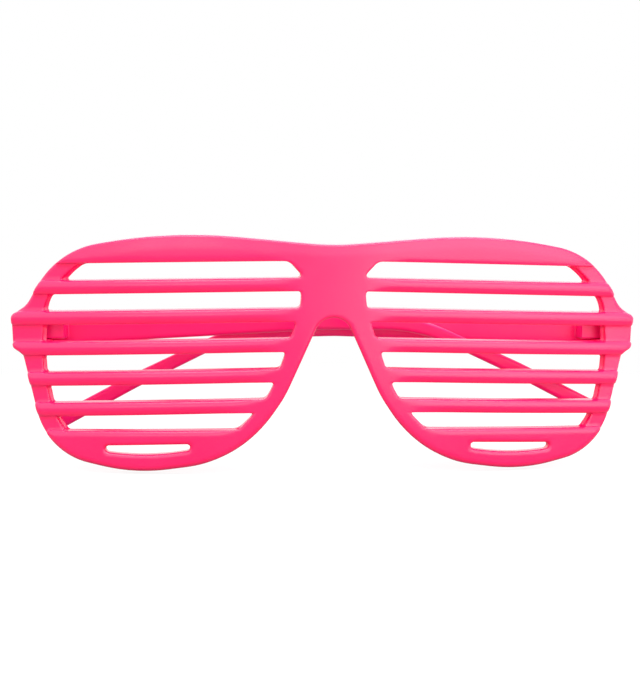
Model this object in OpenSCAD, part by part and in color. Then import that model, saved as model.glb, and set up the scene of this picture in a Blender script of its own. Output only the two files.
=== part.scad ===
// Party glasses with slatted lenses: a one-piece moulded front and two folding temples on pinned hinges.
// Front faces -Y, +Z is up as worn, and the origin is the middle of the nose arch's underside.
// The temples are folded behind the front, the left one underneath, as the glasses lie in a drawer.

/* [Front] */
// Width from wing tip to wing tip
front_w = 150; // [142:1:158]
// Radius of the wrap, at the back face of the front
wrap_r = 297; // [240:1:400]
// Thickness of the recessed rim between the slats
rim_t = 2.2; // [1.8:0.1:2.6]
// Thickness of a slat at its crest
slat_t = 3; // [2.7:0.1:3.4]
// Height of the round crest on a slat's front
slat_sag = 0.7; // [0.3:0.05:0.9]
// Thickness of the bridge and the nose web
bridge_t = 3.2; // [3.1:0.1:3.8]
// Width of the rim outside the lens opening
rim_w = 8.6; // [8:0.1:9.5]

/* [Slats] */
// Number of slats in each lens
slats = 5; // [3:1:5]
// Height of one slat
slat_h = 3.28; // [2.8:0.02:3.4]
// Height of one slot between slats
slot_h = 3.76; // [3.4:0.02:4]
// Middle of the top slot above the nose arch, at the middle of the lens
first_slot_z = 10.38; // [9.8:0.02:11]
// Angle by which the top slot drops towards the wing
top_droop = 0.95; // [0:0.05:2]
// Angle by which the bottom slot drops towards the wing
bottom_droop = 1.75; // [0:0.05:2]
// Height of the bottom slot, at the middle of the lens
bottom_slot_h = 3.6; // [3.4:0.05:4]
// Angle by which the bottom slot narrows towards the wing
bottom_taper = 0.7; // [0:0.05:1]
// Radius of the rounded edge of the brow and of the chin plate, along the nearest slot
plate_edge_r = 2.4; // [1.5:0.1:3]
// Corner radius of the slots
slot_r = 0.9; // [0.4:0.1:1.2]

/* [Brow and chin] */
// Height of the brow above the top slot, at its highest
brow_h = 7.24; // [6.5:0.01:8.5]
// Depth of the chin plate below the bottom slot
chin_h = 10.45; // [9.6:0.05:12]
// Width of the narrow curved slot in the chin plate
smile_w = 20; // [14:0.2:22]
// Height of the narrow slot at its middle
smile_h = 2.2; // [1.8:0.1:2.8]
// Height of the narrow slot at its ends
smile_end_h = 1.4; // [1.1:0.05:1.6]
// Depth of the chin plate above the narrow slot
smile_drop = 3.6; // [3:0.1:4.2]

/* [Nose] */
// Radius at the top of the nose arch
arch_r = 3.8; // [3:0.1:4.2]
// Width of the nose web beside the arch
web_w = 4.2; // [3.6:0.1:5]

/* [Hinge] */
// Height of a wing, where the temple meets the front
wing_h = 7.6; // [6.8:0.1:8.2]
// Middle of the wings and of the hinges, from the top of the nose arch
wing_z = -4; // [-4.5:0.1:-3.5]
// Hinge axis inside the wing tip
hinge_in = 6.8; // [6.6:0.1:7.2]
// Hinge axis behind the wing's flat back
hinge_back = 2.2; // [2.2:0.1:2.8]
// Radius of the knuckles
knuckle_r = 2.2; // [1.9:0.1:2.2]
// Height of the temple's knuckle
knuckle_h = 3.8; // [3:0.1:4]
// Height of each of the front's two ears
ear_h = 2.9; // [2.4:0.1:3.2]
// Radius of the hinge pin
pin_r = 0.7; // [0.5:0.05:0.9]
// Running clearance round the pin in the temple's knuckle
pin_gap = 0.05; // [0.02:0.01:0.1]
// Gap between a knuckle and each ear, and between an open temple and its wing
seat_gap = 0.1; // [0.05:0.01:0.2]

/* [Temples] */
// Length of the temple from the hinge axis to the start of the ear hook
bend_u = 88.3; // [80:0.5:92]
// Length of the ear hook
hook_l = 52.4; // [44:0.5:54]
// Angle of the ear hook just after the bend
hook_angle = 24.5; // [20:0.5:30]
// Further drop of the ear hook's outer half
tip_drop = 2.5; // [0:0.5:4]
// Height of the temple at the hinge
root_h = 7.6; // [6.8:0.1:8]
// Height of the temple along the ear hook
hook_h = 3.4; // [3:0.1:4]
// Height of the ear hook's middle line at the bend, above the middle of the hinge
arm_rise = 2.8; // [2:0.1:3.4]
// Distance from the hinge axis at which the temple's lower edge levels out
under_u = 66; // [60:1:68]
// Height of that level edge above the middle of the hinge
under_z = 0.05; // [-0.3:0.05:0.3]
// Thickness of the temple at the hinge
root_t = 3.8; // [3.4:0.1:4]
// Thickness of the temple along its middle
arm_t = 2.7; // [2.3:0.1:3]
// Thickness of the temple at its tip
tip_t = 2.3; // [2:0.1:2.6]
// Distance from the hinge axis to the temple's inner face
face_off = 2.6; // [2.5:0.1:3]
// Length of the raised block that carries the knuckle
boss_l = 5.2; // [5:0.1:7]
// How far the ear hook bows inwards at its tip
tip_bow = 2; // [0:0.1:3]

/* [Fold] */
// Lean of the folded left temple towards the front, in degrees
left_lean = 1.5; // [1.2:0.1:1.8]
// Lean of the folded right temple away from the front, in degrees
right_lean = 1.5; // [1.2:0.1:1.8]
// Sag of the left temple behind its knuckle, in degrees
left_sag = 0; // [0:0.1:1]
// Sag of the right temple behind its knuckle, in degrees
right_sag = 1.5; // [1:0.1:2]

/* [Hidden] */

pink = "#ff3f74";
temple_pink = "#f42d70";
steel = "#b9bcc0";

$fn = 96;
// Facets of a full wrap circle
wrap_fn = 900;
// How far a polygon's chord may lie inside its arc
chord_tol = 0.03;
// Overshoot of cutting shapes, and overlap of joined ones
over = 20;
join = 0.8;

half = front_w / 2;
lens_mid = 36;
smile_x = lens_mid + 6.95;
pitch = slat_h + slot_h;
// The front's mid thickness lies at y = 0 on the centre line
wrap_y = wrap_r + slat_t / 2;
// The rim's layers, and the bars that run out past them, as angles from the centre line
wrap_half_deg = 15.2;
bar_end_deg = 16.2;
// Bars start here, under the bridge
bar_start_deg = 0.6;
// How much taller a bar is than the plastic left between two slots, which trim it
trim = 0.1;

// Height of the middle of slot i, measured at the middle of the lens. Slat i lies at i + 0.5.
function slot_z(i) = first_slot_z - i * pitch;
// The slots fan out a little: how far slot i drops towards the wing
function droop(i) = top_droop + (bottom_droop - top_droop) * i / slats;
// y of the front's back face at x
function back_y(x) = wrap_y - sqrt(pow(wrap_r, 2) - pow(x, 2));

brow_z = slot_z(0) + slot_h / 2 + brow_h;
chin_top = slot_z(slats) + slot_h / 2 - bottom_slot_h;
chin_z = chin_top - chin_h;
wing_back = back_y(half) + 0.06;
hinge_x = half - hinge_in;
hinge_y = wing_back + hinge_back;
hinge_z = wing_z;
arm_gap = hinge_back - seat_gap;

// Rounded outlines. A corner is [x, z, radius], and a radius of 0 leaves it sharp.
function unit(v) = v / norm(v);
function corner_arc(a, p, b) =
    let (u = unit([a[0] - p[0], a[1] - p[1]]), v = unit([b[0] - p[0], b[1] - p[1]]))
    let (half_deg = acos(u * v) / 2, r = p[2])
    let (t = r / tan(half_deg), o = [p[0], p[1]] + unit(u + v) * r / sin(half_deg))
    let (s = [p[0], p[1]] + u * t - o, e = [p[0], p[1]] + v * t - o)
    let (s_deg = atan2(s[1], s[0]), turn = atan2(s[0] * e[1] - s[1] * e[0], s * e))
    let (n = max(1, ceil(abs(turn) / (2 * acos(1 - chord_tol / r)))))
    [for (i = [0:n]) o + r * [cos(s_deg + turn * i / n), sin(s_deg + turn * i / n)]];
function rounded(c) =
    let (n = len(c))
    [for (i = [0:n - 1])
        each c[i][2] > 0 ? corner_arc(c[(i + n - 1) % n], c[i], c[(i + 1) % n]) : [[c[i][0], c[i][1]]]];
function mirrored(c) = concat(c, [for (i = [len(c) - 1:-1:0]) [-c[i][0], c[i][1], c[i][2]]]);

// Right half of the front's outline, from the dip over the bridge to the top of the nose arch
outline_half = [
    [2.6, brow_z - 2.9, 60],
    [half - 38, brow_z, 120],
    [half - 11.5, brow_z - 4.5, 20.5],
    [half - 4, wing_z + wing_h / 2 + 2.5, 6],
    [half, wing_z + wing_h / 2, 1.5],
    [half - 0.5, wing_z - wing_h / 2, 1.5],
    [half - 3, wing_z - wing_h / 2 - 1.5, 2.5],
    [half - 8.5, chin_z + 4.5, 16],
    [half - 29, chin_z, 44],
    [21, chin_z + 3.5, 29],
    [11, -18.5, 30.5],
    [2.5, 0, arch_r],
];
// Right lens opening: the slots are bands of it
lens = [
    [7.6, slot_z(0) + 2.6, 4.4],
    [7.2, 2.7, 27],
    [10.6 + web_w, -19.3, 27],
    [20.3 + web_w, -28.6, 0],
    [half - rim_w - 7.4, chin_z + 6.2, 0],
    [half - rim_w - 1.8, -23, 15.4],
    [half - rim_w + 0.9, -11, 35.3],
    [half - rim_w - 0.2, 5.8, 17],
    [half - rim_w - 12.4, slot_z(0) + 4.3, 0],
];
// The nose web and bridge, standing proud of the rim up to the lens openings
web_half = [
    [11.5, brow_z + 3, 0],
    [11.5, slot_z(0) + slot_h / 2 + 1, 5],
    [7.8, slot_z(0) - 2, 8],
    [7.56, 2.7, 15],
    [10.97 + web_w, -19.3, 26],
    [22 + web_w, chin_z + 6, 8],
    [17, chin_z - 2, 0],
];

// Everything inside the outline, as a prism along Y
module outline_prism() {
    rotate([90, 0, 0])
        linear_extrude(2 * over, center = true)
            polygon(rounded(mirrored(outline_half)));
}

// A layer of the wrapped shell as tall as the front, between two depths from its back face
module shell(from, to) {
    translate([0, wrap_y, chin_z - over / 4])
        rotate([0, 0, -90 - wrap_half_deg])
            rotate_extrude(angle = 2 * wrap_half_deg, $fn = wrap_fn)
                translate([wrap_r + from, 0])
                    square([to - from, brow_z - chin_z + over / 2]);
}

// One side's bar at height z in mid lens: a profile swept round the wrap axis, from the bridge to the wing
module bar(side, z, lean) {
    translate([0, 0, z + lens_mid * tan(lean)])
        rotate([0, side * lean, 0])
            translate([0, wrap_y, 0])
                rotate([0, 0, (side > 0 ? bar_start_deg : -bar_end_deg) - 90])
                    rotate_extrude(angle = bar_end_deg - bar_start_deg, $fn = wrap_fn)
                        translate([wrap_r, 0])
                            children();
}

// Convex slat profile: flat root inside the rim, round crest in front
module slat_profile() {
    tall = slat_h + trim;
    sag = slat_sag;
    r = (pow(tall / 2, 2) + pow(sag, 2)) / (2 * sag);
    intersection() {
        translate([rim_t / 2, -tall / 2])
            square([slat_t, tall]);
        translate([slat_t - r, 0])
            circle(r);
    }
}

// Brow or chin profile: crest thickness with one rounded edge, along the nearest slot
module plate_profile(height, up) {
    mirror([0, up ? 0 : 1])
        translate([0, -trim / 2])
            polygon(rounded([
                [rim_t / 2, 0, 0],
                [slat_t - slat_sag, 0, 0],
                [slat_t, plate_edge_r / 2, plate_edge_r],
                [slat_t, height, 0],
                [rim_t / 2, height, 0],
            ]));
}

// One slot's opening, straight through
module slot(side, i) {
    rotate([90, 0, 0])
        linear_extrude(2 * over, center = true)
            offset(slot_r, $fn = 20)
                offset(-slot_r)
                    intersection() {
                        mirror([side > 0 ? 0 : 1, 0])
                            polygon(rounded(lens));
                        translate([side * lens_mid, slot_z(i)])
                            rotate(-side * droop(i))
                                difference() {
                                    square([front_w, slot_h], center = true);
                                    if (i == slats)
                                        translate([0, slot_h / 2 - bottom_slot_h])
                                            rotate(side * bottom_taper)
                                                translate([-half, -slot_h])
                                                    square([front_w, slot_h]);
                                }
                    }
}

// The narrow slot in the chin plate: straight above, curved below
module smile(side) {
    end_r = smile_end_h * 0.45;
    rotate([90, 0, 0])
        linear_extrude(2 * over, center = true)
            translate([side * smile_x, chin_top - smile_drop])
                rotate(-side * droop(slats))
                    polygon(rounded([
                        [-smile_w / 2, 0, end_r],
                        [smile_w / 2, 0, end_r],
                        [smile_w / 2 - 0.3, -smile_end_h, end_r],
                        for (t = [0.75:-0.25:-0.75])
                            [t * smile_w / 2, -smile_end_h - (smile_h - smile_end_h) * (1 - t * t), 0],
                        [-smile_w / 2 + 0.3, -smile_end_h, end_r],
                    ]));
}

// One wing's hinge ears and the flat pad that stops the open temple
module hinge_ears(side) {
    for (top = [0, 1])
        translate([side * hinge_x, 0, hinge_z + (top ? knuckle_h / 2 + seat_gap : -knuckle_h / 2 - seat_gap - ear_h)])
            linear_extrude(ear_h)
                union() {
                    translate([0, hinge_y])
                        circle(knuckle_r);
                    translate([-knuckle_r, back_y(hinge_x - knuckle_r) - join])
                        square([2 * knuckle_r, hinge_y - back_y(hinge_x - knuckle_r) + join]);
                }
    intersection() {
        outline_prism();
        pad_in = hinge_x + knuckle_r + 0.2;
        translate([side > 0 ? pad_in : -half - 1, back_y(pad_in) - join, wing_z - wing_h / 2 - 1])
            cube([half + 1 - pad_in, wing_back - back_y(pad_in) + join, wing_h + 2]);
    }
}

module front_frame() {
    color(pink)
        difference() {
            union() {
                intersection() {
                    outline_prism();
                    union() {
                        // Recessed rim, with the bridge and nose web proud of it
                        shell(0, rim_t);
                        intersection() {
                            rotate([90, 0, 0])
                                linear_extrude(2 * over, center = true)
                                    polygon(rounded(mirrored(web_half)));
                            shell(rim_t / 2, bridge_t);
                        }
                        // Raised bars, each across the lens and on over the rim to the outline
                        for (side = [-1, 1]) {
                            for (i = [0.5:slats - 0.5])
                                bar(side, slot_z(i), droop(i))
                                    slat_profile();
                            bar(side, slot_z(0) + slot_h / 2, droop(0))
                                plate_profile(brow_h + 3, true);
                            bar(side, chin_top, droop(slats) - bottom_taper)
                                plate_profile(chin_h + 3, false);
                        }
                    }
                }
                for (side = [-1, 1])
                    hinge_ears(side);
            }
            for (side = [-1, 1]) {
                for (i = [0:slats])
                    slot(side, i);
                smile(side);
                translate([side * hinge_x, hinge_y, hinge_z])
                    cylinder(r = pin_r, h = 2 * over, center = true);
            }
        }
}

// Temple centre line as [distance along the folded arm, height, full height], from butt to tip
arm_butt = [-arm_gap, -0.1, root_h];
arm_mid = [
    bend_u + hook_l * 0.57 * cos(hook_angle),
    arm_rise - hook_l * 0.57 * sin(hook_angle),
    hook_h,
];
arm_tip = [
    arm_mid[0] + hook_l * 0.43 * cos(hook_angle + tip_drop),
    arm_mid[1] - hook_l * 0.43 * sin(hook_angle + tip_drop),
    hook_h,
];
tip_skew = hook_h / 2 * sin(hook_angle + tip_drop);
// How much lower the arm's upper edge turns at the bend, and how much further out its lower edge turns
bend_waist = 0.15;
bend_skew = 2.5;
// Radii of the bend over and under the arm, and of the slow curve of the hook
bend_r = [50, 40];
hook_r = 100;

// Side view of the arm: tapered straight part, gentle bend and dropping ear hook
arm_side = [
    [arm_butt[0], arm_butt[1] + arm_butt[2] / 2, 0.8],
    [bend_u, arm_rise + hook_h / 2 - bend_waist, bend_r[0]],
    [arm_mid[0] + 0.4, arm_mid[1] + arm_mid[2] / 2, hook_r],
    [arm_tip[0] + tip_skew, arm_tip[1] + arm_tip[2] / 2, hook_h * 0.46],
    [arm_tip[0] - tip_skew, arm_tip[1] - arm_tip[2] / 2, hook_h * 0.46],
    [arm_mid[0] - 0.4, arm_mid[1] - arm_mid[2] / 2, hook_r],
    [bend_u + bend_skew, under_z, bend_r[1]],
    [under_u, under_z, bend_r[1]],
    [arm_butt[0], arm_butt[1] - arm_butt[2] / 2, 0.8],
];
// Plan view of the arm: thick at the hinge, thin along its length, bowed in at the hook
arm_plan = [
    [arm_butt[0], face_off, 0],
    [bend_u, face_off, 300],
    [arm_tip[0] + 2, face_off - tip_bow, 1],
    [arm_tip[0] + 2, face_off - tip_bow + tip_t, 1],
    [bend_u, face_off + arm_t, 300],
    [24, face_off + arm_t, 60],
    [9, face_off + root_t, 12],
    [arm_butt[0], face_off + root_t, 0.6],
];

// A folded temple seen from its hinge axis: +X along the arm, +Y away from the front.
// A sagging arm is set back so that the upper corner of its butt keeps the seat gap.
module temple(sag) {
    difference() {
        union() {
            translate([root_h / 2 * sin(sag), 0, 0])
                rotate([0, sag, 0])
                    intersection() {
                        rotate([90, 0, 0])
                            linear_extrude(2 * over, center = true)
                                polygon(rounded(arm_side));
                        translate([0, 0, -2 * over])
                            linear_extrude(3 * over)
                                polygon(rounded(arm_plan));
                    }
            translate([0, 0, -knuckle_h / 2])
                linear_extrude(knuckle_h)
                    union() {
                        circle(knuckle_r);
                        translate([0, -knuckle_r])
                            square([boss_l, knuckle_r + face_off + join]);
                    }
        }
        cylinder(r = pin_r + pin_gap, h = 2 * over, center = true);
    }
}

module left_temple() {
    color(temple_pink)
        translate([-hinge_x, hinge_y, hinge_z])
            rotate([0, 0, -left_lean])
                temple(left_sag);
}

module right_temple() {
    color(temple_pink)
        translate([hinge_x, hinge_y, hinge_z])
            mirror([1, 0, 0])
                rotate([0, 0, right_lean])
                    temple(right_sag);
}

// Pressed into both ears and free in the temple's knuckle, with a small chamfer at each end
module hinge_pin(side) {
    span = knuckle_h + 2 * (seat_gap + ear_h);
    chamfer = pin_r / 4;
    color(steel)
        translate([side * hinge_x, hinge_y, hinge_z - span / 2])
            rotate_extrude()
                polygon([
                    [0, 0],
                    [pin_r - chamfer, 0],
                    [pin_r, chamfer],
                    [pin_r, span - chamfer],
                    [pin_r - chamfer, span],
                    [0, span],
                ]);
}

front_frame();
left_temple();
right_temple();
hinge_pin(-1);  // left_hinge_pin
hinge_pin(1);  // right_hinge_pin
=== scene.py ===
# %% [markdown]
# # Slatted party glasses
#
# The object is one pair of pink party glasses with slats in place of lenses. The front is a single
# injection moulding, 150 mm wide and about 3 mm thick, wrapped round the face. Two thin temples
# fold behind it, each on a steel pin. The lesson builds the front and the temples as rounded
# solids from distance formulas, gives them a glossy dyed plastic, and photographs them on a white
# sweep.

# %% Tools and the frame
import math

import bpy
import numpy as np
from mathutils import Matrix, Vector


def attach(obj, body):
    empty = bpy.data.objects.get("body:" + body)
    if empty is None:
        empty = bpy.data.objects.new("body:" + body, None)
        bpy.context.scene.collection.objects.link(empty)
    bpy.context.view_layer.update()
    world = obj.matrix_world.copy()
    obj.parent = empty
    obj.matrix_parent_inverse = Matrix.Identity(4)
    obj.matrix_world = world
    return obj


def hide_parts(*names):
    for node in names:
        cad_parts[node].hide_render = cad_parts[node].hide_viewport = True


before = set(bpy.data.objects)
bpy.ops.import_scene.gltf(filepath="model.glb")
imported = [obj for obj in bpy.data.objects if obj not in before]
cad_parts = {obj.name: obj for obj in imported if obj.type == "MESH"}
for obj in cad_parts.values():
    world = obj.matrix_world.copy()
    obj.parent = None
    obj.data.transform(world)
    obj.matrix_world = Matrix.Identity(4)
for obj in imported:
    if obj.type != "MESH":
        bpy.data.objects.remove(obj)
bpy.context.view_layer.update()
MM = 0.001

# %% [markdown]
# ## Sizes
#
# All lengths below are millimetres, in the frame of the CAD model: x runs to the wearer's left, z
# is up, the front faces -y, and the origin is the top of the nose arch. The front is bent round an
# upright axis behind it, so its thickness is measured along a depth d from the concave back face.

# %% The sizes of the front
HALF = 75.0  # half of the width
WRAP_R, WRAP_Y = 297.0, 298.5  # radius of the back face, and where its axis stands
RIM_T, SLAT_T, BRIDGE_T = 1.95, 3.0, 3.2  # thicknesses
SLAT_SAG = 0.62  # fall of a slat's face from its crest to its edges
SLATS, SLAT_H, SLOT_H = 5, 3.28, 3.76
PITCH = SLAT_H + SLOT_H
FIRST_SLOT = 10.38  # middle of the highest slot, where it crosses the middle of the lens
LAST_SLOT, LAST_SLOT_H = FIRST_SLOT - SLATS * PITCH, 3.6
LENS_MID = 36.0
TOP_DROOP, BOTTOM_DROOP, CHIN_DROOP = 0.95, 1.75, 1.05  # degrees, falling outwards
BROW_H, CHIN_H = 7.24, 10.45
BROW_Z = FIRST_SLOT + SLOT_H / 2 + BROW_H
CHIN_TOP = LAST_SLOT + SLOT_H / 2 - LAST_SLOT_H
CHIN_Z = CHIN_TOP - CHIN_H
WING_Z, WING_H = -4.0, 7.6
print("front, mm:", 2 * HALF, "wide,", round(BROW_Z - CHIN_Z, 2), "tall, pitch", round(PITCH, 2))

# %% [markdown]
# ## Outlines
#
# A moulded edge is drawn as straight lines joined by arcs. Corners are written as x, z and a
# radius, and one helper turns them into a fine polygon. Another helper gives the distance from any
# point to such a polygon, negative inside it, which is all that the solids need.


# %% Rounded outlines and the distance to them
def rounded(corners, chord=0.01):
    """A polygon with its corners rounded, whose sides stay within chord of the true arcs."""
    points = []
    for i, (x, z, r) in enumerate(corners):
        p = np.array([x, z])
        if r == 0:
            points.append(p)
            continue
        u = np.array(corners[i - 1][:2]) - p
        v = np.array(corners[(i + 1) % len(corners)][:2]) - p
        u, v = u / np.hypot(*u), v / np.hypot(*v)
        half_angle = math.acos(np.clip(u @ v, -1, 1)) / 2
        centre = p + (u + v) / np.hypot(*(u + v)) * r / math.sin(half_angle)
        a = p + u * r / math.tan(half_angle) - centre
        b = p + v * r / math.tan(half_angle) - centre
        turn = math.atan2(a[0] * b[1] - a[1] * b[0], a @ b)
        start = math.atan2(a[1], a[0])
        steps = max(2, math.ceil(abs(turn) / (2 * math.acos(1 - chord / max(r, 2 * chord)))))
        for s in range(steps + 1):
            angle = start + turn * s / steps
            points.append(centre + r * np.array([math.cos(angle), math.sin(angle)]))
    return np.array(points)


def mirrored(corners):
    """The corners of the right half, and then those of the left half."""
    return corners + [(-x, z, r) for x, z, r in reversed(corners)]


def distance(outline, x, z, chunk=6000):
    """Distance from the points to the closed outline, negative inside."""
    a, b = outline, np.roll(outline, -1, axis=0)
    side = b - a
    length2 = np.maximum((side**2).sum(1), 1e-12)
    shape, x, z = x.shape, x.ravel(), z.ravel()
    out = np.empty(len(x))
    for s in range(0, len(x), chunk):
        px, pz = x[s : s + chunk, None] - a[:, 0], z[s : s + chunk, None] - a[:, 1]
        t = np.clip((px * side[:, 0] + pz * side[:, 1]) / length2, 0, 1)
        near = np.hypot(px - t * side[:, 0], pz - t * side[:, 1]).min(1)
        over = (pz >= 0) != (pz - side[:, 1] >= 0)
        crosses = over & ((px * side[:, 1] < pz * side[:, 0]) == (side[:, 1] > 0))
        out[s : s + chunk] = np.where(crosses.sum(1) % 2 == 1, -near, near)
    return out.reshape(shape)


# %% The outline of the front, from the notch over the bridge round the right lens to the nose arch
FRONT_OUTLINE = rounded(mirrored([
    (2.6, BROW_Z - 2.9, 60),
    (HALF - 38, BROW_Z, 120),
    (HALF - 11.1, BROW_Z - 4.5, 20.5),
    (HALF - 3.7, WING_Z + WING_H / 2 + 2.3, 6),
    (HALF, WING_Z + WING_H / 2, 1.5),
    (HALF - 0.35, WING_Z - WING_H / 2, 1.5),
    (HALF - 2.7, WING_Z - WING_H / 2 - 1.5, 2.5),
    (HALF - 8.2, CHIN_Z + 4.5, 16),
    (HALF - 29, CHIN_Z, 44),
    (21, CHIN_Z + 3.5, 29),
    (11.05, -18.5, 30.5),
    (2.85, -0.3, 4.4),
]))
print("outline of the front:", len(FRONT_OUTLINE), "points")

# %% The lens that ends the slots, and the raised web of the bridge
LENS = rounded([
    (10.75, FIRST_SLOT + 2.8, 1.2),
    (7.5, 9.65, 1.5),
    (7.2, 2.7, 27),
    (14.8, -19.3, 27),
    (24.5, -28.6, 0),
    (59, CHIN_Z + 6.2, 0),
    (64.6, -23, 15.4),
    (67.3, -11, 35.3),
    (66.3, 3.9, 9),
    (60, 10.3, 6),
    (54, FIRST_SLOT + 4.55, 0),
])
BRIDGE = rounded(mirrored([
    (11.5, BROW_Z + 3, 0),
    (11.5, FIRST_SLOT + SLOT_H / 2 + 1, 5),
    (7.8, FIRST_SLOT - 2, 8),
    (7.5, 2.7, 15),
    (15.1, -19.3, 27),
    (26.2, CHIN_Z + 6, 8),
    (17, CHIN_Z - 2, 0),
]))
print("lens:", len(LENS), "points, bridge:", len(BRIDGE))

# %% The narrow curved slot in the chin, a smile
SMILE_X, SMILE_DROP = LENS_MID + 6.95, 3.6  # its middle, and its depth under the chin's upper edge
SMILE_W, SMILE_H, SMILE_END_H = 20.0, 2.2, 1.4  # width, and heights in the middle and at the ends
SMILE_R, SMILE_TAPER = 0.63, 0.3  # its corners, and how far the ends slope
belly = [
    (t * SMILE_W / 2, -SMILE_END_H - (SMILE_H - SMILE_END_H) * (1 - t * t), 0)
    for t in np.linspace(0.9, -0.9, 19)
]
SMILE = rounded([
    (-SMILE_W / 2, 0, SMILE_R),
    (SMILE_W / 2, 0, SMILE_R),
    (SMILE_W / 2 - SMILE_TAPER, -SMILE_END_H, SMILE_R),
    *belly,
    (-SMILE_W / 2 + SMILE_TAPER, -SMILE_END_H, SMILE_R),
])
print("smile:", len(SMILE), "points")


# %% Distance charts
class Chart:
    """The distance to one outline, worked out once on a sheet of squares and read back from it."""

    def __init__(self, outline, x_range, z_range, step=0.14):
        self.start, self.step = np.array([x_range[0], z_range[0]]), step
        xs, zs = np.arange(*x_range, step), np.arange(*z_range, step)
        self.sheet = distance(outline, *np.meshgrid(xs, zs, indexing="ij"))

    def __call__(self, x, z):
        u = (x - self.start[0]) / self.step
        v = (z - self.start[1]) / self.step
        i = np.clip(u.astype(int), 0, self.sheet.shape[0] - 2)
        j = np.clip(v.astype(int), 0, self.sheet.shape[1] - 2)
        u, v = u - i, v - j
        near = self.sheet[i, j] * (1 - v) + self.sheet[i, j + 1] * v
        far = self.sheet[i + 1, j] * (1 - v) + self.sheet[i + 1, j + 1] * v
        return near * (1 - u) + far * u


SHEET_X, SHEET_Z = (-1.2, HALF + 1.5), (CHIN_Z - 2, BROW_Z + 4)
outline_chart = Chart(FRONT_OUTLINE, SHEET_X, SHEET_Z)
lens_chart = Chart(LENS, SHEET_X, SHEET_Z)
bridge_chart = Chart(BRIDGE, SHEET_X, SHEET_Z)
smile_chart = Chart(SMILE, (-SMILE_W, SMILE_W), (-8, 6), 0.08)
print("sheet of the front:", outline_chart.sheet.shape, "squares")

# %% [markdown]
# ## Rounded solids from distances
#
# A moulding has no knife edges: every edge is rounded a little, and every raised bar runs into the
# rim in a fillet. Bevelling a mesh with so many slots breaks easily. Instead the solid is written
# as a formula that is negative inside the plastic. Two formulas meet in a rounded edge or in a
# fillet by one line of arithmetic, and a grid of samples then yields the surface. Each cell of the
# grid that the surface passes gets one vertex. The vertices start on the rough surface and slide
# along the formula's slope until they lie on it, so that highlights run smoothly.


# %% Joining and cutting distances
def edge(a, b, r):
    """What is inside both, with a rounded edge of radius r."""
    return np.minimum(np.maximum(a, b), -r) + np.hypot(np.maximum(a + r, 0), np.maximum(b + r, 0))


def fillet(a, b, k):
    """What is inside either, with a fillet as wide as k."""
    h = np.maximum(k - np.abs(a - b), 0) / k
    return np.minimum(a, b) - h * h * k / 4


def ramp(v, lo, hi):
    """0 below lo, 1 above hi, and a smooth step between."""
    t = np.clip((v - lo) / (hi - lo), 0, 1)
    return t * t * (3 - 2 * t)


# %% A vertex in each cell that the surface passes
def neighbours(axis):
    """Two cuts of a block of samples: all but the last along the axis, and the next of each."""
    low, high = [slice(None)] * 3, [slice(None)] * 3
    low[axis], high[axis] = slice(None, -1), slice(1, None)
    return tuple(low), tuple(high)


def cell_points(at, value):
    """The mean of the points where a cell's edges are crossed, and each cell's point number."""
    inside = value < 0
    cells = tuple(n - 1 for n in inside.shape)
    total, count = np.zeros(cells + (3,)), np.zeros(cells)
    for axis in range(3):
        low, high = neighbours(axis)
        crossed = inside[low] != inside[high]
        fall = np.where(crossed, value[low] - value[high], 1)
        share = np.where(crossed, value[low] / fall, 0)
        point = at[low] + share[..., None] * (at[high] - at[low])
        b, c = (a for a in range(3) if a != axis)
        for i in (0, 1):
            for j in (0, 1):
                pick = [slice(None)] * 3
                pick[b] = slice(i, cells[b] + i)
                pick[c] = slice(j, cells[c] + j)
                pick = tuple(pick)
                total += np.where(crossed[pick][..., None], point[pick], 0)
                count += crossed[pick]
    used = count > 0
    number = np.full(cells, -1)
    number[used] = np.arange(used.sum())
    return total[used] / count[used][:, None], number


# %% A quad round each grid line that crosses the surface
def cell_quads(inside, number):
    """Quads through the points of the four cells round each crossed grid line."""
    quads = []
    for axis in range(3):
        b, c = (axis + 1) % 3, (axis + 2) % 3
        low, high = neighbours(axis)
        where = np.argwhere(inside[low] != inside[high])
        for a in (b, c):
            where = where[(where[:, a] > 0) & (where[:, a] < number.shape[a])]
        corners = []
        for db, dc in ((1, 1), (0, 1), (0, 0), (1, 0)):
            cell = where.copy()
            cell[:, b] -= db
            cell[:, c] -= dc
            corners.append(number[tuple(cell.T)])
        quad = np.stack(corners, 1)
        flip = ~inside[low][tuple(where.T)]
        quad[flip] = quad[flip][:, ::-1]
        quads.append(quad)
    return np.concatenate(quads)


# %% The surface of a formula
def slid(field, verts, times=4, probe=0.01, reach=0.45):
    """The vertices, moved along the formula's slope onto the surface, at most reach at a time."""
    for _ in range(times):
        value = field(verts)
        sides = [field(verts + step) - field(verts - step) for step in np.eye(3) * probe]
        slope = np.stack([rise / (2 * probe) for rise in sides], 1)
        size2 = np.maximum((slope**2).sum(1), 0.1)
        move = -slope * (value / size2)[:, None]
        far = np.maximum(np.linalg.norm(move, axis=1) / reach, 1)
        verts = verts + move / far[:, None]
    return verts


def surface(field, place, axes):
    """Vertices and quads where field is 0, sampled on the grid of axes as place bends it."""
    grid = np.stack(np.meshgrid(*axes, indexing="ij"), -1)
    at = place(grid.reshape(-1, 3))
    value = field(at).reshape(grid.shape[:3])
    points, number = cell_points(at.reshape(grid.shape), value)
    return slid(field, points), cell_quads(value < 0, number)


def add_piece(name, verts, quads):
    """A mesh object from millimetre vertices and faces."""
    mesh = bpy.data.meshes.new(name)
    mesh.from_pydata((np.asarray(verts) * MM).tolist(), [], np.asarray(quads).tolist())
    mesh.validate()
    mesh.update()
    mesh.shade_smooth()
    piece = bpy.data.objects.new(name, mesh)
    bpy.context.scene.collection.objects.link(piece)
    return piece


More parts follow.
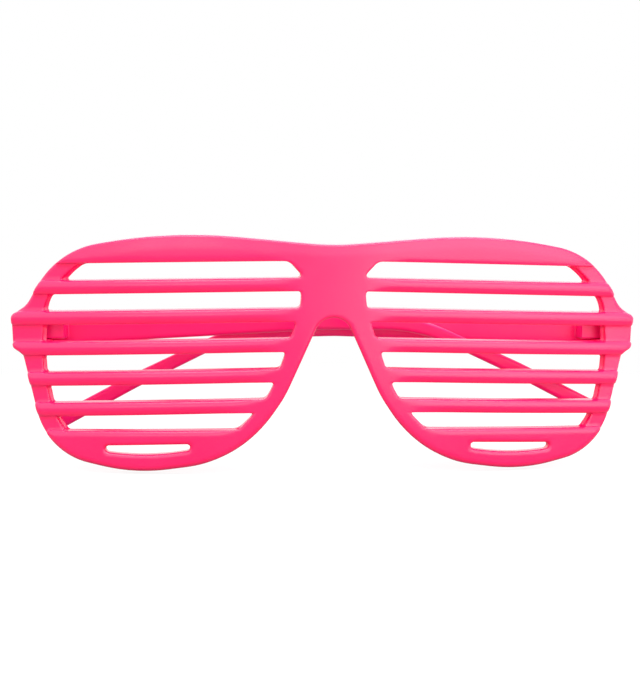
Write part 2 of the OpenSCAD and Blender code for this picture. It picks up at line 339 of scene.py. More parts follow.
# %% [markdown]
# ## The front
#
# The flat pattern of the front has three levels. The rim round each lens is the lowest. The five
# slats, the brow and the chin plate lie on it as raised bars with a convex face, and they run on
# across the rim to the outline, which makes small steps there. The bridge is highest, and the
# slats swell up into it over a few millimetres. The slots are cut through everything, and their
# rims are rounded: more along a slat's upper edge than along its lower lip. At its outer end a
# slot is longer in front than behind, so a narrow ledge shows there.
#
# A mould has to let go of its part, so walls that look square to the front lean a little. This is
# called draft. The brow's upper wall and the slats' upper walls fall towards the front, where they
# catch the light. The walls of the nose arch draw in towards the back, so the front hides them.


# %% Slat lines
def droop(line):
    """Slope of the slat line that has this height at the middle of the lens."""
    share = (FIRST_SLOT - line) / (SLATS * PITCH)
    above = LAST_SLOT + SLOT_H / 2
    chin = np.clip((above - line) / (above - CHIN_TOP), 0, 1)
    slats = TOP_DROOP + (BOTTOM_DROOP - TOP_DROOP) * share
    return np.tan(np.radians(slats * (1 - chin) + CHIN_DROOP * chin))


def line_of(x, z, rounds=6):
    """Height, at the middle of the lens, of the slat line through a point."""
    line = z
    for _ in range(rounds):
        line = z + (np.abs(x) - LENS_MID) * droop(line)
    return line


def slot_line(i):
    """The slat line along the middle of slot i, counted from the top."""
    return FIRST_SLOT - i * PITCH


print("slat lines of the slots:", [round(slot_line(i), 2) for i in range(SLATS + 1)])


# %% The walls of the outline
NOSE_X, NOSE_Z = (22, 30), (2, 6)  # where the nose arch's walls end, outwards and upwards
BROW_BAND = (6, 9)  # heights between which the side's edge turns into the brow's
CHIN_BAND = (-27, -19)
NOSE_DRAFT, NOSE_D = 1.0, (0.0, 2.6)
BROW_DRAFT, BROW_D = 0.26, (0.8, 2.6)


def drafted(x, z, d, outline):
    """The distance to the outline's walls, which lean."""
    nose = NOSE_DRAFT * (1 - ramp(x, *NOSE_X)) * (1 - ramp(z, *NOSE_Z)) * (1 - ramp(d, *NOSE_D))
    lean = np.clip((d - BROW_D[0]) / (BROW_D[1] - BROW_D[0]), 0, 1)
    return outline + (nose + BROW_DRAFT * ramp(z, *BROW_BAND) * lean)


# %% The slats and plates that lie on the rim
OUTSIDE = 9.0  # a distance that no solid reaches
SPARE = 0.5  # inside the lens the bars are this much taller, because the slots cut them to size
FLAT_END = 1.3  # the slat's curve stops here, in half heights squared
BAR_EDGE = 0.22
BROW_ROLL, BROW_ROLL_W = 0.2, 1.5
CHIN_ROLL, CHIN_ROLL_W = 0.45, 1.8


def slat_bars(line, d, rising, in_lens):
    """The five slats, with a convex face that rises into the bridge."""
    bars = np.full_like(line, OUTSIDE)
    for i in range(SLATS):
        off = line - (slot_line(i) - PITCH / 2)
        crest = SLAT_T - SLAT_SAG * np.minimum((off / (SLAT_H / 2)) ** 2, FLAT_END)
        top = crest + (BRIDGE_T - crest) * rising
        bar = edge(np.abs(off) - SLAT_H / 2 - SPARE * in_lens, d - top, BAR_EDGE)
        bars = np.minimum(bars, bar)
    return bars


def plates(line, d, rising, in_lens, crown):
    """The brow and the chin plate, whose faces roll down towards the slots."""
    top = SLAT_T + (BRIDGE_T - SLAT_T) * rising
    brow_edge = slot_line(0) + SLOT_H / 2 - line
    chin_edge = line - CHIN_TOP
    brow_roll = BROW_ROLL * (1 - rising) * (1 - ramp(-brow_edge, 0.0, BROW_ROLL_W)) ** 2
    chin_roll = CHIN_ROLL * (1 - rising) * (1 - ramp(-chin_edge, 0.0, CHIN_ROLL_W)) ** 2
    brow = edge(brow_edge - SPARE * in_lens, d - top + brow_roll + crown, BAR_EDGE)
    chin = edge(chin_edge - SPARE * in_lens, d - top + chin_roll, BAR_EDGE)
    return np.minimum(brow, chin)


# %% The slots
OUTER_X = (44, 56)  # where a slot's outer end begins
LEDGE, LEDGE_D, END_INSET = 0.75, (0.75, 1.15), 0.2
CORNER_R, FIRST_CORNER_LESS, CORNER_LESS = 0.8, 0.2, 0.4
HALF_BLEND = 0.6  # from a slot's middle line, until it belongs to one of its edges alone
SLAT_LIP, SLAT_DRAFT, SLAT_D = 0.1, 0.26, (0.6, 2.2)
LOWER_EDGE, UPPER_EDGE_MORE = 0.24, 0.16
SMILE_REACH, SMILE_BOX = SMILE_W - 0.5, (-7, 5)  # where the smile's chart is read


def slot_opening(i, x, line, lens, d):
    """Slot i and the radius of its edges. Its lower half lies along a slat's upper edge."""
    off = line - slot_line(i)
    band = np.abs(off) - SLOT_H / 2
    if i == SLATS:
        band = np.maximum(line - (LAST_SLOT + SLOT_H / 2), CHIN_TOP - line)
    upper = ramp(-off, -HALF_BLEND, HALF_BLEND)
    lean = np.clip((d - SLAT_D[0]) / (SLAT_D[1] - SLAT_D[0]), 0, 1)
    band = band + upper * (SLAT_LIP - SLAT_DRAFT * lean)
    outer = ramp(x, *OUTER_X)
    ledge = outer * LEDGE * ramp(d, *LEDGE_D)
    corner = CORNER_R - (FIRST_CORNER_LESS if i == 0 else CORNER_LESS) * outer
    opening = edge(lens + END_INSET * outer - ledge, band, corner)
    return opening, LOWER_EDGE + UPPER_EDGE_MORE * upper


def smile_opening(x, z):
    """The curved slot in the chin, which droops as the lowest slat does."""
    sx, sz = x - SMILE_X, z - (CHIN_TOP - SMILE_DROP)
    lean = math.radians(BOTTOM_DROOP)
    along = sx * math.cos(lean) - sz * math.sin(lean)
    up = sx * math.sin(lean) + sz * math.cos(lean)
    near = (np.abs(along) < SMILE_REACH) & (up > SMILE_BOX[0]) & (up < SMILE_BOX[1])
    return np.where(near, smile_chart(along, up), OUTSIDE)


# %% The formula of the front
SWELL = (-0.4, 7.0)  # distances from the bridge over which the bars rise into it
LENS_FADE = (-1.2, 0.0)
CROWN, CROWN_Z, CROWN_W = 0.34, (7, 13), (0.3, 4.2)  # fall of the brow's face to its upper edge
RIM_EDGE, RIM_INSET, STEP_FILLET = 0.5, 0.04, 0.22
WEB_EDGE, WEB_SPREAD = 0.5, 0.25
SIDE_EDGE, BROW_LESS, CHIN_MORE = 0.7, 0.3, 0.6
SMILE_EDGE, BACK_EDGE = 0.85, 0.4


def front_field(p):
    """p holds x, z and the depth d from the back face. Negative inside the plastic."""
    x, z, d = p[:, 0], p[:, 1], p[:, 2]
    line, outline = line_of(x, z), outline_chart(x, z)
    lens, bridge = lens_chart(x, z), bridge_chart(x, z)
    walls = drafted(x, z, d, outline)
    rising = 1 - ramp(bridge, *SWELL)
    in_lens = 1 - ramp(lens, *LENS_FADE)
    crown = CROWN * ramp(z, *CROWN_Z) * (1 - ramp(-outline, *CROWN_W)) ** 2
    rim = edge(d - RIM_T, outline + RIM_INSET, RIM_EDGE)
    web = edge(bridge - WEB_SPREAD, d - BRIDGE_T + crown, WEB_EDGE)
    bars = np.minimum(slat_bars(line, d, rising, in_lens), plates(line, d, rising, in_lens, crown))
    rounding = SIDE_EDGE - BROW_LESS * ramp(z, *BROW_BAND) + CHIN_MORE * (1 - ramp(z, *CHIN_BAND))
    raised = edge(np.minimum(bars, web), walls, rounding)
    solid = np.maximum(fillet(rim, raised, STEP_FILLET), walls)
    for i in range(SLATS + 1):
        opening, radius = slot_opening(i, x, line, lens, d)
        solid = edge(solid, -opening, radius)
    solid = edge(solid, -smile_opening(x, z), SMILE_EDGE)
    return edge(solid, -d, BACK_EDGE)


def front_place(g):
    """The grid's lines follow the slats."""
    z = g[:, 1] - (np.abs(g[:, 0]) - LENS_MID) * droop(g[:, 1])
    return np.stack([g[:, 0], z, g[:, 2]], 1)


def wrapped(p):
    """From the flat pattern to the bent front."""
    y = WRAP_Y - np.sqrt((WRAP_R + p[:, 2]) ** 2 - p[:, 0] ** 2)
    return np.stack([p[:, 0], y, p[:, 1]], 1)


in_bridge = front_field(np.array([[0.0, 6.0, 1.6]]))[0]
print("the formula inside the bridge:", round(float(in_bridge), 2), "mm, negative as it should be")


# %% The grid of the front
def spread(*runs):
    """Grid lines from (start, step) runs up to the last value."""
    lines = []
    for (start, step), (stop, _) in zip(runs, runs[1:]):
        n = max(1, round((stop - start) / step))
        lines.extend(np.linspace(start, stop, n, endpoint=False))
    return np.array(lines + [runs[-1][0]])


columns = spread(
    (0, 0.54), (27, 1.25), (31, 0.86), (53, 0.48), (58.5, 0.3), (68.5, 0.52), (75.6, 0)
)
depths = np.array([
    -0.25, -0.03, 0.12, 0.32, 0.65, 0.98, 1.31, 1.64, 1.92, 2.18, 2.44, 2.7, 2.93, 3.12, 3.35
])
edge_steps = np.array([0.04, 0.16, 0.35])
plate_steps = np.concatenate([edge_steps, [0.65, 1.0, 1.5, 2.0]])
half_slat = np.array([0.03, 0.14, 0.3, 0.5, 0.85, 1.3, SLAT_H / 2])
slat_steps = np.concatenate([half_slat, SLAT_H - half_slat[-2::-1]])
rows = [CHIN_Z - 0.8, *spread((CHIN_Z - 0.5, 0.38), (CHIN_TOP - 0.6, 0))]
rows.extend(CHIN_TOP - edge_steps[::-1])
for i in range(SLATS, -1, -1):
    low = CHIN_TOP if i == SLATS else slot_line(i) - SLOT_H / 2
    high = slot_line(i) + SLOT_H / 2
    rows.extend(spread((low + 0.12, 0.55), (high - 0.12, 0)))
    rows.extend(high + (slat_steps if i > 0 else plate_steps))
rows.extend(spread((high + 2.5, 0.46), (BROW_Z + 2.2, 0)))
rows = np.array(rows)
print("grid of the front:", len(columns), "x", len(rows), "x", len(depths))

# %% The right half and its mirror image
SEAM = 0.24  # the first column stands this far beyond the middle, and its points move onto it
flat, quads = surface(front_field, front_place, (columns - SEAM, rows, depths))
on_seam = flat[:, 0] < SEAM / 2
flat[on_seam, 0] = 0.0
quads = quads[flat[quads][:, :, 0].max(1) > 1e-6]
half = wrapped(flat)
twin = half * [-1, 1, 1]
number = np.arange(len(half)) + len(half)
number[on_seam] = np.arange(len(half))[on_seam]
verts = np.concatenate([half, twin])
quads = np.concatenate([quads, number[quads][:, ::-1]])
front = add_piece("front_moulding", verts, quads)
print("front:", len(front.data.vertices), "vertices,", len(front.data.polygons), "faces")

# %% [markdown]
# ## Hinge ears
#
# Behind each wing two ears hold the pin, above and below the temple's knuckle, and a flat pad stops
# the open temple. They are round in plan with softly rounded edges, and they belong to the front's
# moulding, so they are joined to it into one closed skin.


# %% The ears of one wing
HINGE_X, HINGE_Y, HINGE_Z = 68.2, 13.3857, -4.0
KNUCKLE_R, KNUCKLE_H, EAR_H, SEAT_GAP, PIN_R = 2.2, 3.8, 2.9, 0.1, 0.7
EAR_EDGE, BORE_EDGE, PRESS_GAP = 0.28, 0.12, 0.02
SUNK = 0.3  # so deep the ears reach into the wing, and the pad twice as deep


def back_y(x):
    """Where the back face of the front is."""
    return WRAP_Y - math.sqrt(WRAP_R**2 - x**2)


EAR_ROOT = back_y(HINGE_X - KNUCKLE_R)


def ear_field(p):
    """Both ears of the right wing, in x, y, z."""
    from_pin = np.hypot(p[:, 0] - HINGE_X, p[:, 1] - HINGE_Y)
    neck = np.maximum(np.abs(p[:, 0] - HINGE_X) - KNUCKLE_R, p[:, 1] - HINGE_Y)
    plan = np.maximum(np.minimum(from_pin - KNUCKLE_R, neck), EAR_ROOT - SUNK - p[:, 1])
    bore = PIN_R + PRESS_GAP - from_pin
    ears = np.full(len(p), OUTSIDE)
    for side in (-1, 1):
        middle = HINGE_Z + side * (KNUCKLE_H / 2 + SEAT_GAP + EAR_H / 2)
        ear = edge(plan, np.abs(p[:, 2] - middle) - EAR_H / 2, EAR_EDGE)
        ears = np.minimum(ears, edge(ear, bore, BORE_EDGE))
    return ears


EAR_REACH = 5.4  # of the grid, up and down from the hinge's middle
ear_axes = (
    np.arange(HINGE_X - KNUCKLE_R - 0.4, HINGE_X + KNUCKLE_R + 0.5, 0.24),
    np.arange(EAR_ROOT - 2 * SUNK, HINGE_Y + KNUCKLE_R + 0.5, 0.25),
    np.arange(HINGE_Z - EAR_REACH, HINGE_Z + EAR_REACH, 0.24),
)
ears = surface(ear_field, lambda g: g, ear_axes)
print("ears of one wing:", len(ears[0]), "vertices")

# %% The stop pad of one wing
PAD_Y = back_y(HALF) + 0.06  # its face, level with the wing's end
PAD_X, PAD_X_END = HINGE_X + KNUCKLE_R + 0.2, HALF - 0.7
PAD_REACH, PAD_EDGE = 3.1, 0.25
PAD_SPANS = (
    (PAD_X, PAD_X_END),
    (back_y(PAD_X) - 2 * SUNK, PAD_Y),
    (WING_Z - PAD_REACH, WING_Z + PAD_REACH),
)


def pad_field(p):
    """A block with rounded edges."""
    far = [np.maximum(lo - p[:, a], p[:, a] - hi) for a, (lo, hi) in enumerate(PAD_SPANS)]
    return edge(edge(far[0], far[1], PAD_EDGE), far[2], PAD_EDGE)


pad_axes = (
    np.arange(HINGE_X + KNUCKLE_R - 0.1, HALF, 0.27),
    np.arange(back_y(HINGE_X + KNUCKLE_R) - 0.9, PAD_Y + 0.3, 0.17),
    np.arange(WING_Z - 3.4, WING_Z + 3.5, 0.27),
)
pad = surface(pad_field, lambda g: g, pad_axes)
print("pad of one wing:", len(pad[0]), "vertices")


# %% Joining them to the front
def joined(whole, part):
    """Makes the first skin the union of both."""
    union = whole.modifiers.new("join", "BOOLEAN")
    union.operation, union.solver, union.object = "UNION", "MANIFOLD", part
    graph = bpy.context.evaluated_depsgraph_get()
    mesh = bpy.data.meshes.new_from_object(whole.evaluated_get(graph))
    whole.modifiers.clear()
    whole.data = mesh
    bpy.data.objects.remove(part)


CREASE = math.radians(50)  # where two faces meet at more than this, the edge stays sharp
for side in (-1, 1):
    for part_verts, part_quads in (ears, pad):
        facing = part_quads if side > 0 else part_quads[:, ::-1]
        joined(front, add_piece("part", part_verts * [side, 1, 1], facing))
front.data.name = "front_moulding"
front.data.shade_smooth()
front.data.set_sharp_from_angle(angle=CREASE)
print("front with ears:", len(front.data.vertices), "vertices,", len(front.data.polygons), "faces")

# %% [markdown]
# ## The temples
#
# A temple is a flat strip standing on edge: 7.6 mm tall at the hinge and 3.4 mm along the ear
# hook, which bends down by about 25 degrees. Its knuckle sits on a small raised block. A sweep
# along a curve would need its section changed at every step, so the same way serves as for the
# front: one outline from the side, one from above, and rounded edges where they meet. Lengths
# along the arm are measured from the pin.

# %% The middle line of a temple
ROOT_H, HOOK_H, ROOT_T, ARM_T, TIP_T = 7.6, 3.4, 3.8, 2.7, 2.3  # heights and thicknesses
ROOT_Z, BEND_U, ARM_RISE = -0.1, 88.3, 2.8
HOOK_L, HOOK_ANGLE, HOOK_SHARE, TIP_DROP, TIP_BOW = 52.4, 24.5, 0.57, 2.5, 2.0
FACE_OFF, BOSS_L = 2.6, 5.2  # from the pin to the arm's near face, and the knuckle block's length
ARM_GAP = 2.2 - SEAT_GAP
UNDER_U, UNDER_Z = 66.0, 0.05  # where the straight lower edge ends
hook_turn, tip_turn = math.radians(HOOK_ANGLE), math.radians(HOOK_ANGLE + TIP_DROP)
hook_run, hook_fall = (HOOK_L * HOOK_SHARE * f(hook_turn) for f in (math.cos, math.sin))
tip_run, tip_fall = (HOOK_L * (1 - HOOK_SHARE) * f(tip_turn) for f in (math.cos, math.sin))
MID = (BEND_U + hook_run, ARM_RISE - hook_fall)
TIP = (MID[0] + tip_run, MID[1] - tip_fall)
SKEW = HOOK_H / 2 * math.sin(tip_turn)
print("temple reaches", round(TIP[0] + SKEW, 1), "mm from its pin")

# %% The outlines of a temple
ARM_SIDE = rounded([
    (-ARM_GAP, ROOT_Z + ROOT_H / 2, 0.8),
    (BEND_U, ARM_RISE + (HOOK_H - 0.3) / 2, 50),
    (MID[0] + 0.4, MID[1] + HOOK_H / 2, 100),
    (TIP[0] + SKEW, TIP[1] + HOOK_H / 2, HOOK_H * 0.46),
    (TIP[0] - SKEW, TIP[1] - HOOK_H / 2, HOOK_H * 0.46),
    (MID[0] - 0.4, MID[1] - HOOK_H / 2, 100),
    (BEND_U + 2.5, UNDER_Z, 40),
    (UNDER_U, UNDER_Z, 40),
    (-ARM_GAP, ROOT_Z - ROOT_H / 2, 0.8),
])
ARM_PLAN = rounded([
    (-ARM_GAP, FACE_OFF, 0),
    (BEND_U, FACE_OFF, 300),
    (TIP[0] + 2, FACE_OFF - TIP_BOW, 1),
    (TIP[0] + 2, FACE_OFF - TIP_BOW + TIP_T, 1),
    (BEND_U, FACE_OFF + ARM_T, 300),
    (24, FACE_OFF + ARM_T, 60),
    (9, FACE_OFF + ROOT_T, 12),
    (-ARM_GAP, FACE_OFF + ROOT_T, 0.6),
])
ARM_SPAN = (-4, TIP[0] + 4)
side_chart = Chart(ARM_SIDE, ARM_SPAN, (-26, 7), 0.15)
plan_chart = Chart(ARM_PLAN, ARM_SPAN, (-2, 8), 0.1)
print("outlines of a temple:", len(ARM_SIDE), "and", len(ARM_PLAN), "points")


# %% The formula of a temple
ARM_EDGE, KNUCKLE_EDGE, PIN_EDGE = 0.85, 0.22, 0.1
ARM_FILLET, RUN_GAP, BLOCK_SINK = 0.35, 0.05, 0.6
BEND_SPAN = 9  # the bend reaches this far to both sides


def arm_line(u):
    """Height of the arm's middle at a distance from the pin, for the grid to follow."""
    xs = [-ARM_GAP, BEND_U - BEND_SPAN, BEND_U + BEND_SPAN, MID[0], TIP[0]]
    after_bend = ARM_RISE - BEND_SPAN * math.tan(hook_turn) - 0.2
    return np.interp(u, xs, [ROOT_Z, ARM_RISE - 0.3, after_bend, MID[1], TIP[1]])


def temple_solid(sag):
    """The formula of a temple that hangs by the angle sag, and how its grid is bent."""
    shift = ROOT_H / 2 * math.sin(sag)

    def field(p):
        u, y, z = p[:, 0], p[:, 1], p[:, 2]
        along = (u - shift) * math.cos(sag) - z * math.sin(sag)
        up = (u - shift) * math.sin(sag) + z * math.cos(sag)
        arm = edge(side_chart(along, up), plan_chart(along, y), ARM_EDGE)
        from_pin = np.hypot(u, y)
        across = np.maximum(-KNUCKLE_R - y, y - FACE_OFF - BLOCK_SINK)
        block = np.maximum(-u, np.maximum(u - BOSS_L, across))
        plan = np.minimum(from_pin - KNUCKLE_R, block)
        knuckle = edge(plan, np.abs(z) - KNUCKLE_H / 2, KNUCKLE_EDGE)
        whole = fillet(arm, knuckle, ARM_FILLET)
        return edge(whole, PIN_R + RUN_GAP - from_pin, PIN_EDGE)

    def place(g):
        along = g[:, 0]
        return np.stack([along, g[:, 1], g[:, 2] + arm_line(along) - along * math.tan(sag)], 1)

    return field, place


arm_axes = (
    spread((-2.7, 0.22), (9, 0.9), (TIP[0] - 3.5, 0.35), (TIP[0] + 3.2, 0)),
    spread((-2.6, 0.24), (FACE_OFF + 0.3, 0.3), (FACE_OFF + ROOT_T + 0.5, 0)),
    spread((-4.3, 0.3), (4.5, 0)),
)
print("grid of a temple:", " x ".join(str(len(axis)) for axis in arm_axes))


# %% Both temples
SAG = {"left": 0.0, "right": math.radians(1.5)}  # the right hinge is loose, so its temple hangs
LEAN = math.radians(1.5)  # folded, the left temple runs towards the front, the right one off it


def folded(verts, side):
    """From the pin's own frame, +x along the arm, to the folded place behind the front."""
    lean = -LEAN if side < 0 else LEAN
    cos, sin = math.cos(lean), math.sin(lean)
    turn = np.array([[cos, -sin, 0], [sin, cos, 0], [0, 0, 1]])
    return (verts @ turn.T) * [-side, 1, 1] + [side * HINGE_X, HINGE_Y, HINGE_Z]


ARM_CREASE = math.radians(55)
temples = {}
for name, side in (("left", -1), ("right", 1)):
    field, place = temple_solid(SAG[name])
    arm_verts, arm_quads = surface(field, place, arm_axes)
    facing = arm_quads if side < 0 else arm_quads[:, ::-1]
    temples[name] = add_piece(name + "_temple_moulding", folded(arm_verts, side), facing)
    temples[name].data.set_sharp_from_angle(angle=ARM_CREASE)
    print(name, "temple:", len(arm_verts), "vertices")

# %% [markdown]
# ## Shader maths
#
# A finish is worked out from a few noise patterns. Written node by node that hides the thought, so
# one small class wraps a socket and lets patterns be added and multiplied like numbers. The other
# class makes the nodes of one material.


# %% Values that are sockets
class Pattern:
    """A number that varies over the surface."""

    def __init__(self, finish, socket):
        self.finish, self.socket = finish, socket

    def calc(self, operation, a, b):
        out = self.finish.node("ShaderNodeMath", {"operation": operation}, {0: a, 1: b})
        return out["Value"]

    def __add__(self, other):
        return self.calc("ADD", self, other)

    def __sub__(self, other):
        return self.calc("SUBTRACT", self, other)

    def __rsub__(self, other):
        return self.calc("SUBTRACT", other, self)

    def __mul__(self, other):
        return self.calc("MULTIPLY", self, other)

    __radd__, __rmul__ = __add__, __mul__


# %% A material and its nodes
class Finish:
    """One material, and the nodes behind it."""

    def __init__(self, name):
        self.material = bpy.data.materials.new(name)
        self.material.use_nodes = True
        self.tree = self.material.node_tree
        self.tree.nodes.clear()

    def node(self, kind, settings=None, values=None):
        """A node with its settings made and its sockets filled. Gives its outputs by name."""
        made = self.tree.nodes.new(kind)
        for key, setting in (settings or {}).items():
            setattr(made, key, setting)
        for key, value in (values or {}).items():
            self.fill(made.inputs[key], value)
        return {out.name: Pattern(self, out) for out in made.outputs if out.enabled}

    def fill(self, socket, value):
        """A pattern comes in as a link, and anything else as the socket's own value."""
        if isinstance(value, Pattern):
            self.tree.links.new(value.socket, socket)
        else:
            socket.default_value = value

    def noise(self, scale, detail, roughness=0.5, stretch=(1, 1, 1)):
        """A cloudy pattern in the object's own coordinates, in metres."""
        place = self.node("ShaderNodeTexCoord")["Object"]
        place = self.node("ShaderNodeMapping", {}, {"Vector": place, "Scale": stretch})["Vector"]
        values = {"Vector": place, "Scale": scale, "Detail": detail, "Roughness": roughness}
        return self.node("ShaderNodeTexNoise", {"noise_dimensions": "3D"}, values)["Fac"]

    def step(self, value, lo, hi):
        """0 below lo, 1 above hi, and a smooth step between."""
        settings = {"interpolation_type": "SMOOTHSTEP"}
        values = {"Value": value, "From Min": lo, "From Max": hi, "To Min": 0.0, "To Max": 1.0}
        return self.node("ShaderNodeMapRange", settings, values)["Result"]

    def mix(self, share, a, b):
        """Colour a where share is 0 and colour b where it is 1."""
        made = self.tree.nodes.new("ShaderNodeMix")
        made.data_type = "RGBA"
        for key, value in (("Factor_Float", share), ("A_Color", a), ("B_Color", b)):
            self.fill(next(s for s in made.inputs if s.identifier == key), value)
        return Pattern(self, next(s for s in made.outputs if s.identifier == "Result_Color"))

    def bump(self, height, strength, depth):
        """A relief too small to model, depth in metres."""
        values = {"Strength": strength, "Distance": depth, "Height": height}
        return self.node("ShaderNodeBump", {}, values)["Normal"]

    def finished(self, values):
        """The material, once its surface has these values."""
        surface = self.node("ShaderNodeBsdfPrincipled", {}, values)["BSDF"]
        self.node("ShaderNodeOutputMaterial", {}, {"Surface": surface})
        print(self.material.name, "has", len(self.tree.nodes), "nodes")
        return self.material


# %% [markdown]
# ## Dyed plastic
#
# The plastic is dyed right through and leaves a polished mould. Its colour is even, with faint
# clouds where the dye mixed unevenly. The gloss is high, with soft blotches from handling and a few
# hairline scratches. Polished moulds still leave a shallow ripple, and that is a bump too small to
# model. The temples come from a second mould and are less glossy. Their colour is made deeper and
# bluer than the front's as painted shade, because folded they lie in the front's shadow.


# %% The gloss finish
def dyed_plastic(name, body, deep, gloss, sheen):
    """A moulded plastic whose colour drifts from body to deep, with a base roughness of gloss."""
    finish = Finish(name)
    clouds = finish.step(finish.noise(55.0, 3.0), 0.35, 0.7)
    colour = finish.mix(clouds, (*body, 1), (*deep, 1))
    handled = finish.step(finish.noise(140.0, 4.0, 0.6), 0.45, 0.75)
    hair = finish.step(finish.noise(420.0, 2.0, 0.5, (0.12, 1.0, 1.6)), 0.7, 0.78)
    ripple = finish.noise(330.0, 1.0) * 0.6 + hair * -0.1 + finish.noise(2600.0, 2.0) * 0.03
    return finish.finished({
        "Base Color": colour,
        "Roughness": handled * 0.06 + hair * 0.05 + gloss,
        "IOR": 1.52,
        "Specular IOR Level": sheen,
        "Normal": finish.bump(ripple, 0.05, 0.0001),
    })


front_plastic = dyed_plastic(
    "front_plastic", body=(0.89, 0.006, 0.105), deep=(0.87, 0.004, 0.098), gloss=0.2, sheen=0.5
)
# The temples' colour is deeper and bluer than the front's: painted shade, for the folded temples
# lie in the front's shadow.
temple_plastic = dyed_plastic(
    "temple_plastic", body=(0.88, 0.004, 0.185), deep=(0.86, 0.003, 0.174), gloss=0.32, sheen=0.36
)

# %% [markdown]
# ## Pins
#
# A pin is a short piece of drawn steel wire. The CAD solids already have the right shape with their
# chamfers, so they stay and only get a finish: bright steel with fine lines along the draw.

# %% The steel finish
BRIGHT, STAINED = (0.56, 0.56, 0.58, 1), (0.42, 0.4, 0.39, 1)
steel = Finish("pin_steel")
drawn = steel.noise(900.0, 3.0, 0.6, (1, 1, 0.08))
stain = steel.step(steel.noise(500.0, 3.0), 0.5, 0.7)
pin_steel = steel.finished({
    "Base Color": steel.mix(stain, BRIGHT, STAINED),
    "Metallic": 1.0,
    "Roughness": drawn * 0.2 + stain * 0.12 + 0.2,
    "Normal": steel.bump(drawn, 0.2, 0.00005),
})

# %% [markdown]
# ## Pieces that move
#
# The front stays where it is, and each temple swings about its pin. Every finished piece hides the
# CAD solid that it stands for and hangs on the body that it rides on, so that it moves as that
# solid does. The pins are the solids themselves and ride with the front already.

# %% Pieces, bodies and materials
front.data.materials.clear()
front.data.materials.append(front_plastic)
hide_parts("front_frame")
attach(front, "front")
for name, temple in temples.items():
    temple.data.materials.append(temple_plastic)
    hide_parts(name + "_temple")
    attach(temple, name + "_temple")
    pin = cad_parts[name + "_hinge_pin"]
    pin.data.materials.clear()
    pin.data.materials.append(pin_steel)

# %% [markdown]
# ## Sweep and light
#
# The glasses stand on a white sweep in a light tent: light comes softly from everywhere, somewhat
# more from above and in front. Glossy plastic mirrors what is round it. The camera sees white paper
# everywhere, but the plastic mirrors darker paper, so that its undersides stay deep pink. Only the
# paper on the right is as bright as a photographer's card and lights the edges that face it.

# %% The sweep
FLOOR_Z, REACH = CHIN_Z - 0.02, 3000.0
sweep_mesh = bpy.data.meshes.new("sweep")
corners = [(-REACH, -REACH), (REACH, -REACH), (REACH, REACH), (-REACH, REACH)]
sweep_mesh.from_pydata([(x * MM, y * MM, FLOOR_Z * MM) for x, y in corners], [], [(0, 1, 2, 3)])
sweep = bpy.data.objects.new("sweep", sweep_mesh)
bpy.context.scene.collection.objects.link(sweep)
print("sweep at z =", round(FLOOR_Z, 2), "mm")

# %% The paper on it
WHITE, DARK = (0.9, 0.9, 0.9, 1), (0.28, 0.28, 0.28, 1)
paper = Finish("paper")
seen = paper.node("ShaderNodeLightPath")["Is Camera Ray"]
spot = paper.node("ShaderNodeTexCoord")["Object"]
away = paper.node("ShaderNodeVectorMath", {"operation": "LENGTH"}, {0: spot})["Value"]
across = paper.node("ShaderNodeSeparateXYZ", {}, {"Vector": spot})["X"]
card = paper.step(away, 0.14, 0.2) * paper.step(across, 0.0, 0.06)
white = paper.mix(seen, paper.mix(card, DARK, WHITE), WHITE)
shaded = paper.node("ShaderNodeBsdfDiffuse", {}, {"Color": white})["BSDF"]
glow = paper.node("ShaderNodeEmission", {}, {"Color": (1, 1, 1, 1), "Strength": 1.0})["Emission"]
share = paper.step(away, 0.1, 0.3) * 0.16 + 0.84
lit = paper.node("ShaderNodeMixShader", {}, {0: seen * share, 1: shaded, 2: glow})["Shader"]
paper.node("ShaderNodeOutputMaterial", {}, {"Surface": lit})
sweep_mesh.materials.append(paper.material)
print("paper has", len(paper.tree.nodes), "nodes")


# %% The tent
class Tent(Finish):
    """The world behind the sweep, written with the same patterns."""

    def __init__(self, name):
        self.world = bpy.data.worlds.new(name)
        self.world.use_nodes = True
        self.tree = self.world.node_tree
        self.tree.nodes.clear()


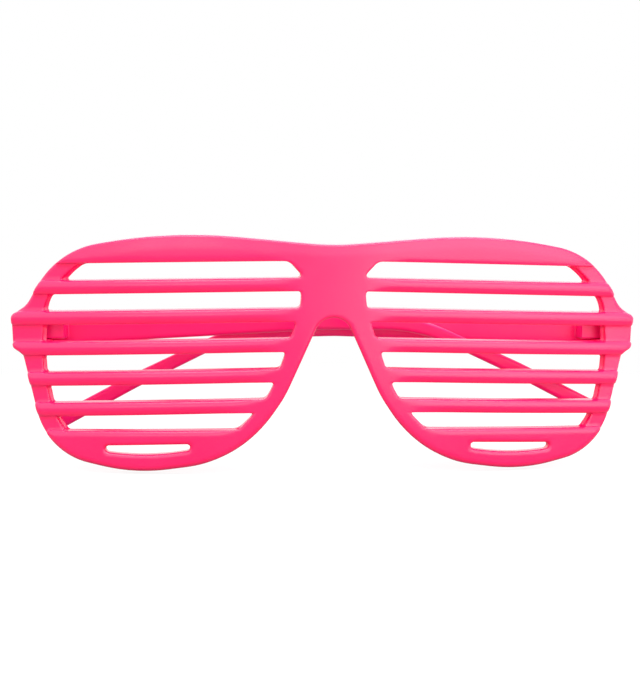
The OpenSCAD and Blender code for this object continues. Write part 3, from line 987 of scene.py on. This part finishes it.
tent = Tent("tent")
bpy.context.scene.world = tent.world
skyward = tent.node("ShaderNodeTexCoord")["Generated"]
height = tent.node("ShaderNodeSeparateXYZ", {}, {"Vector": skyward})["Z"]
soft = tent.step(height, -0.02, 0.3) * 0.75 + 1.0
direct = tent.node("ShaderNodeLightPath")["Is Camera Ray"]
strength = (1 - direct) * soft + direct
cloth = tent.node("ShaderNodeBackground", {}, {"Strength": strength, "Color": (1, 1, 1, 1)})
tent.node("ShaderNodeOutputWorld", {}, {"Surface": cloth["Background"]})
print("tent has", len(tent.tree.nodes), "nodes")


# %% The lamps
def softbox(name, at, width, tall, power):
    """A lamp with a rectangular face that looks at the glasses, in metres and watts."""
    data = bpy.data.lights.new(name, "AREA")
    data.shape = "RECTANGLE"
    data.energy, data.size, data.size_y = power, width, tall
    lamp = bpy.data.objects.new(name, data)
    lamp.location = at
    lamp.rotation_euler = (-Vector(at)).to_track_quat("-Z", "Y").to_euler()
    bpy.context.scene.collection.objects.link(lamp)
    print(name, "gives", power, "W")


softbox("top_box", (0.05, -0.3, 0.7), width=0.8, tall=0.42, power=4.4)
softbox("right_box", (0.5, -0.82, 0.2), width=0.8, tall=0.8, power=3.6)
softbox("left_box", (-0.33, -0.9, 0.24), width=0.34, tall=0.34, power=0.4)

# %% [markdown]
# ## Camera
#
# The camera stands a little to the left and a little above, 24 cm away, so near parts look larger
# than far ones. Its place and turn were fitted to the outline, the slats and both arms.

# %% The camera
data = bpy.data.cameras.new("camera")
data.lens, data.sensor_width, data.sensor_fit = 54.09, 36.0, "AUTO"
data.clip_start, data.clip_end = 0.01, 20
camera = bpy.data.objects.new("camera", data)
right = Vector((0.996529, -0.083083, 0.005141))
forward = Vector((0.083238, 0.994003, -0.070914))
up = Vector((0.000782, 0.071096, 0.997469))
turn = Matrix((right, up, -forward)).transposed()
camera.matrix_world = Matrix.Translation((-0.023318, -0.242455, 0.009440)) @ turn.to_4x4()
bpy.context.scene.collection.objects.link(camera)
bpy.context.scene.camera = camera
bpy.context.scene.view_settings.view_transform = "Standard"
print("camera at", [round(v, 3) for v in camera.matrix_world.translation])
